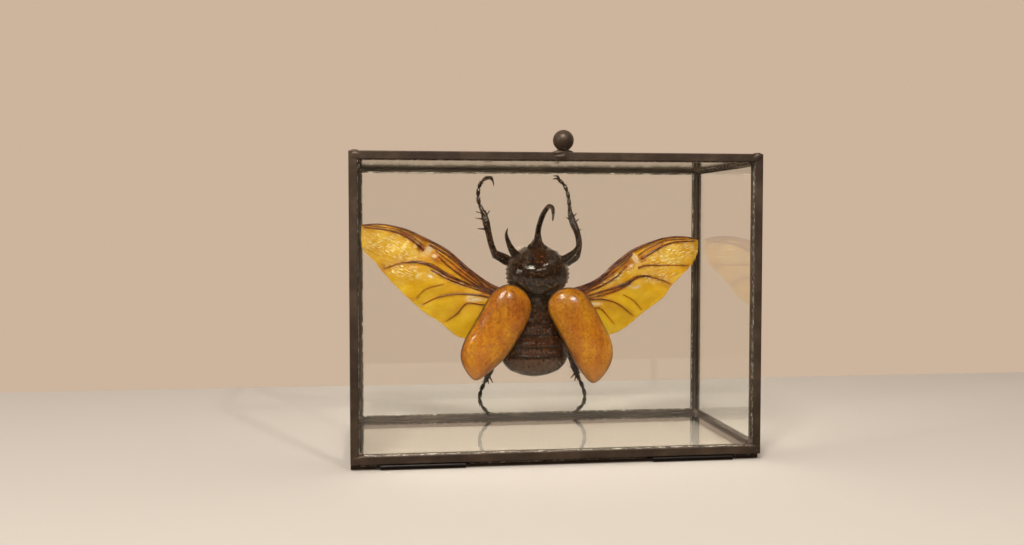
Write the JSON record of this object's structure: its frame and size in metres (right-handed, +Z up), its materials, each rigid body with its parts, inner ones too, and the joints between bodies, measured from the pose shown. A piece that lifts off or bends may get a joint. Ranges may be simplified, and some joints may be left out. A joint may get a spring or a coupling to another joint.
{
  "type": "boxed beetle specimen",
  "caption": "Spread horned rhinoceros beetle fixed inside an upright glass display box of soldered metal strips, with a hinged glass lid and a ball knob.",
  "frame": {"origin": "on the table plane under the middle of the whole object's bounding box", "axes": "+X along the lid to its right as seen from the front, the lid faces -Y, +Z up"},
  "size_m": [0.17, 0.0874, 0.1366],
  "materials": {
    "strip_metal": "dark antique patina, satin",
    "hinge_metal": "blackened, satin",
    "glass": "clear",
    "cuticle": "glossy dried cuticle",
    "elytra": "glossy orange brown",
    "wing_membrane": "amber, clear membrane",
    "glue": "clear"
  },
  "bodies": {
    "case": {"bottom_left_strip": "strip_metal", "bottom_right_strip": "strip_metal", "bottom_front_strip": "strip_metal", "bottom_back_strip": "strip_metal", "top_left_strip": "strip_metal", "top_right_strip": "strip_metal", "top_front_strip": "strip_metal", "top_back_strip": "strip_metal", "front_left_post": "strip_metal", "front_right_post": "strip_metal", "back_left_post": "strip_metal", "back_right_post": "strip_metal", "back_pane": "glass", "bottom_pane": "glass", "top_pane": "glass", "left_pane": "glass", "right_pane": "glass", "left_hinge_pin": "hinge_metal", "right_hinge_pin": "hinge_metal", "body": "cuticle", "pronotum": "cuticle", "head": "cuticle", "left_elytron": "elytra", "right_elytron": "elytra", "left_hindwing": "wing_membrane", "right_hindwing": "wing_membrane", "front_left_leg": "cuticle", "front_right_leg": "cuticle", "middle_left_leg": "cuticle", "middle_right_leg": "cuticle", "hind_left_leg": "cuticle", "hind_right_leg": "cuticle", "glue_dab": "glue"},
    "lid": {"lid_left_strip": "strip_metal", "lid_right_strip": "strip_metal", "lid_bottom_strip": "strip_metal", "lid_top_strip": "strip_metal", "lid_pane": "glass", "knob": "strip_metal", "left_hinge_barrel": "hinge_metal", "right_hinge_barrel": "hinge_metal"}
  },
  "joints": [
    {"name": "lid_hinge", "type": "hinge", "parent": "case", "child": "lid", "pos_m": [0, -0.03982, 0.00125], "axis": [1, 0, 0], "range_deg": [0, 88.8]}
  ]
}
